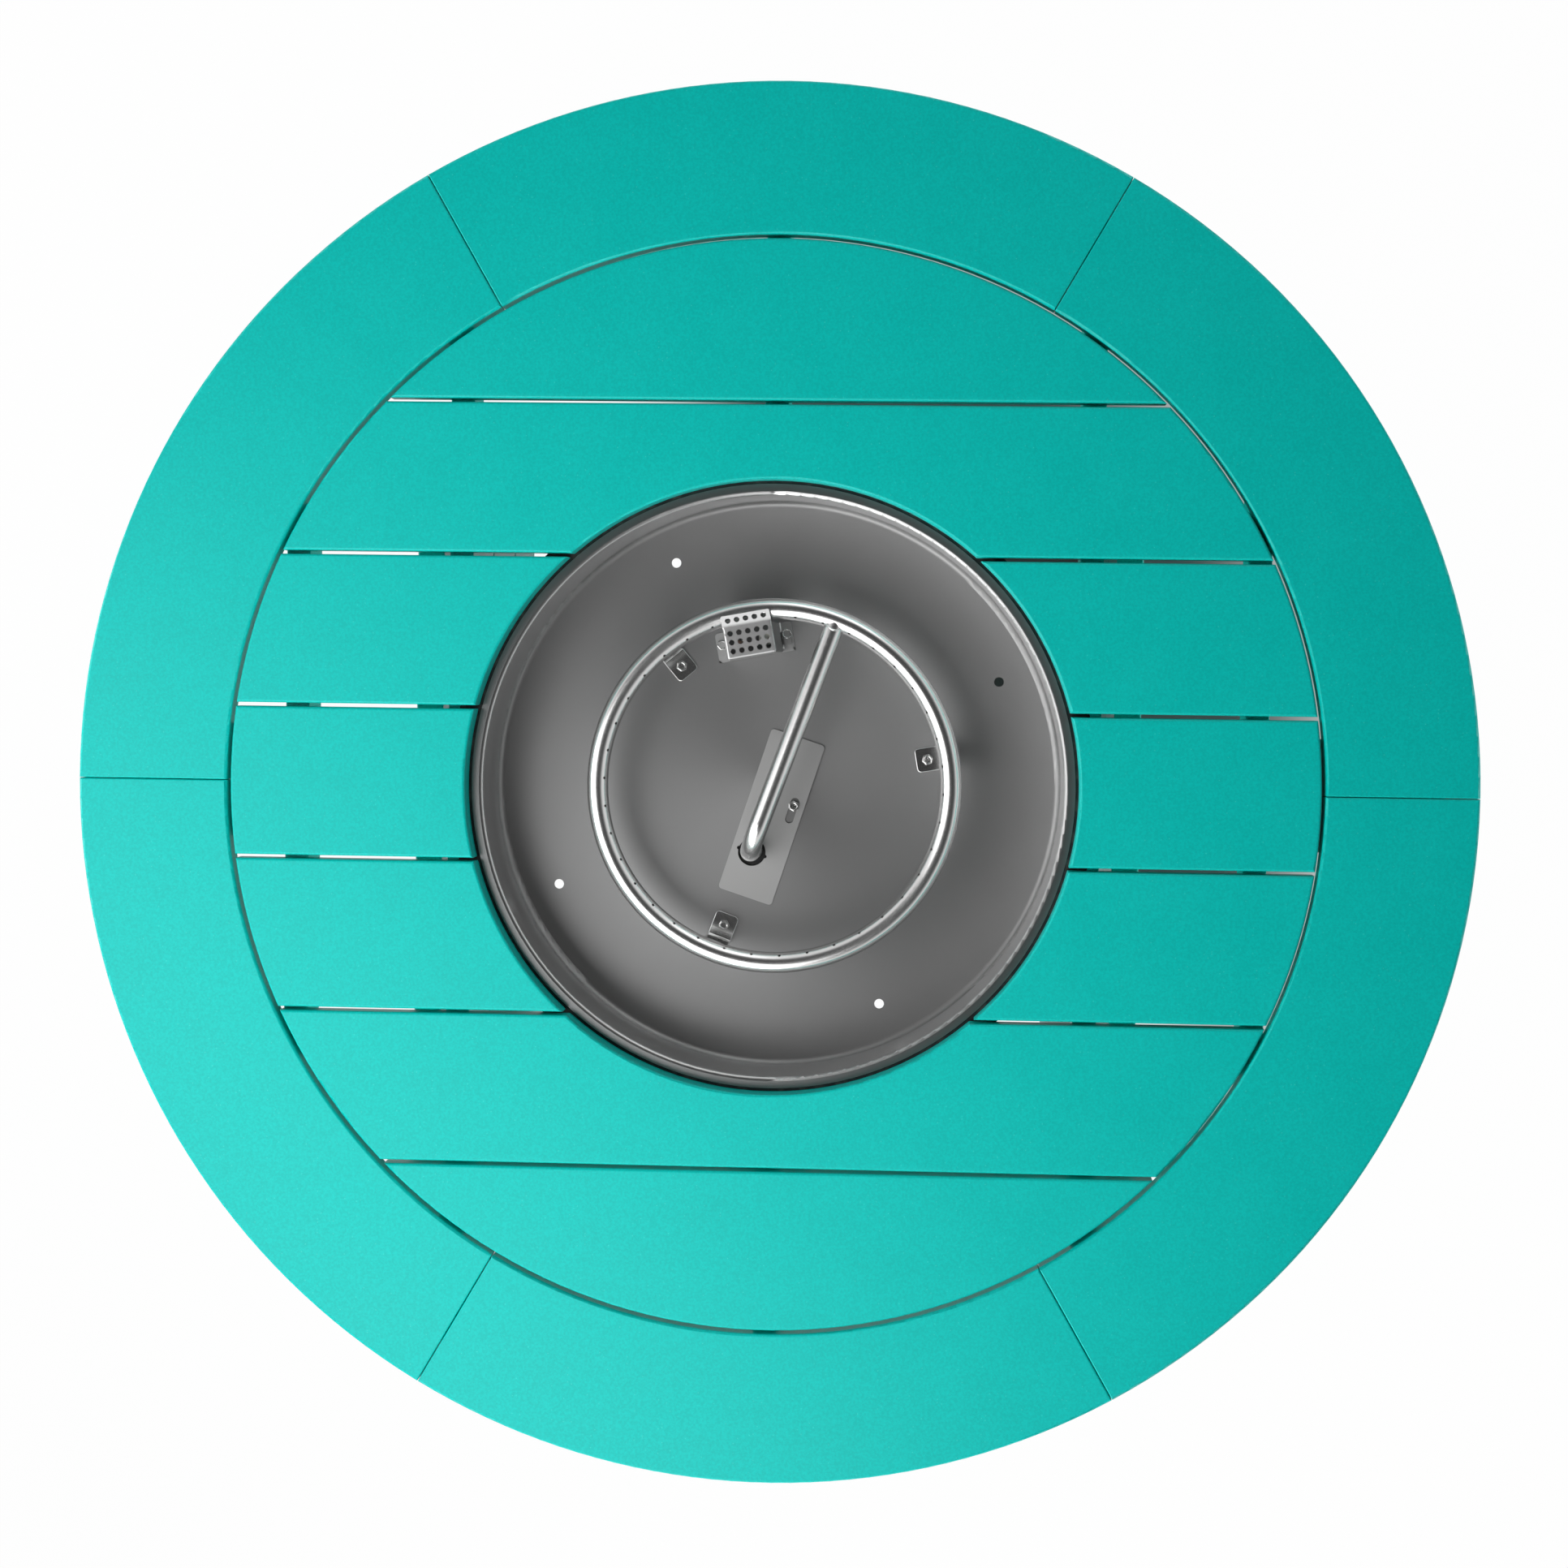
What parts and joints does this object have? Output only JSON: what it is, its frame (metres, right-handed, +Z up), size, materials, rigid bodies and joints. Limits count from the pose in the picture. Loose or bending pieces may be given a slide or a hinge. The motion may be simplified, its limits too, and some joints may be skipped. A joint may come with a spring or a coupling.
{
  "type": "round gas fire pit table",
  "caption": "Round slatted table with a drop-in gas burner pan, on a square cabinet with a hinged tank door, push-and-turn gas knob and spark button.",
  "frame": {"origin": "on the floor, under the centre of the round top", "axes": "+Z up, -Y is the door side, +X to the right when facing the door"},
  "size_m": [1.118, 1.118, 0.62],
  "materials": {
    "turquoise_board": "satin, finely pebbled recycled plastic lumber",
    "pan_steel": "brushed stainless sheet",
    "plate_steel": "lighter brushed stainless sheet",
    "polished_steel": "polished stainless",
    "hardware_steel": "satin stainless",
    "black_iron": "black malleable iron",
    "brass": "machined brass",
    "probe_copper": "copper tube",
    "ceramic": "glazed ceramic",
    "black_rubber": "insulated lead",
    "black_plastic": "moulded black plastic"
  },
  "bodies": {
    "table": {"ring_segment_1": "turquoise_board", "ring_segment_2": "turquoise_board", "ring_segment_3": "turquoise_board", "ring_segment_4": "turquoise_board", "ring_segment_5": "turquoise_board", "ring_segment_6": "turquoise_board", "slat_1": "turquoise_board", "slat_2": "turquoise_board", "slat_3_left": "turquoise_board", "slat_3_right": "turquoise_board", "slat_4_left": "turquoise_board", "slat_4_right": "turquoise_board", "slat_5_left": "turquoise_board", "slat_5_right": "turquoise_board", "slat_6": "turquoise_board", "slat_7": "turquoise_board", "center_cleats": "turquoise_board", "inner_cleats": "turquoise_board", "outer_cleats": "turquoise_board", "front_posts": "turquoise_board", "back_posts": "turquoise_board", "left_wall_boards": "turquoise_board", "right_wall_boards": "turquoise_board", "back_wall_boards": "turquoise_board", "header_rail": "turquoise_board", "burner_pan": "pan_steel", "feed_plate": "plate_steel", "pilot_cage": "plate_steel", "burner_ring": "polished_steel", "feed_tube": "polished_steel", "ring_brackets": "polished_steel", "burner_screws": "polished_steel", "ring_joint_plates": "hardware_steel", "top_screws": "hardware_steel", "burner_nuts": "hardware_steel", "top_brackets": "hardware_steel", "hinge_post_leaves": "hardware_steel", "hinge_pins": "hardware_steel", "control_plate": "hardware_steel", "control_screws": "hardware_steel", "pan_support_ring": "black_iron", "elbow_fitting": "black_iron", "air_mixer": "brass", "gas_line": "brass", "gas_valve": "brass", "thermocouple": "probe_copper", "spark_electrode": "ceramic", "igniter_lead": "black_rubber", "feet": "black_plastic", "magnet_catch": "black_plastic", "igniter_module": "black_plastic"},
    "door": {"door_boards": "turquoise_board", "door_battens": "turquoise_board", "hinge_door_leaves": "hardware_steel", "door_pull": "hardware_steel", "strike_plate": "hardware_steel"},
    "valve_stem": {"valve_stem": "hardware_steel"},
    "control_knob": {"control_knob": "black_plastic"},
    "igniter_button": {"igniter_button": "hardware_steel"}
  },
  "joints": [
    {"name": "door_hinge", "type": "hinge", "parent": "table", "child": "door", "pos_m": [-0.2345, -0.306, 0.2475], "axis": [0, 0, -1], "range_deg": [0, 110]},
    {"name": "knob_push", "type": "slide", "parent": "table", "child": "valve_stem", "axis": [0, 1, 0], "range_m": [0, 0.004], "stiffness_N_per_m": 1500},
    {"name": "knob_turn", "type": "hinge", "parent": "valve_stem", "child": "control_knob", "pos_m": [-0.02001, -0.31, 0.503], "axis": [0, -1, 0], "range_deg": [0, 180]},
    {"name": "igniter_press", "type": "slide", "parent": "table", "child": "igniter_button", "axis": [0, 1, 0], "range_m": [0, 0.005], "stiffness_N_per_m": 1200}
  ]
}
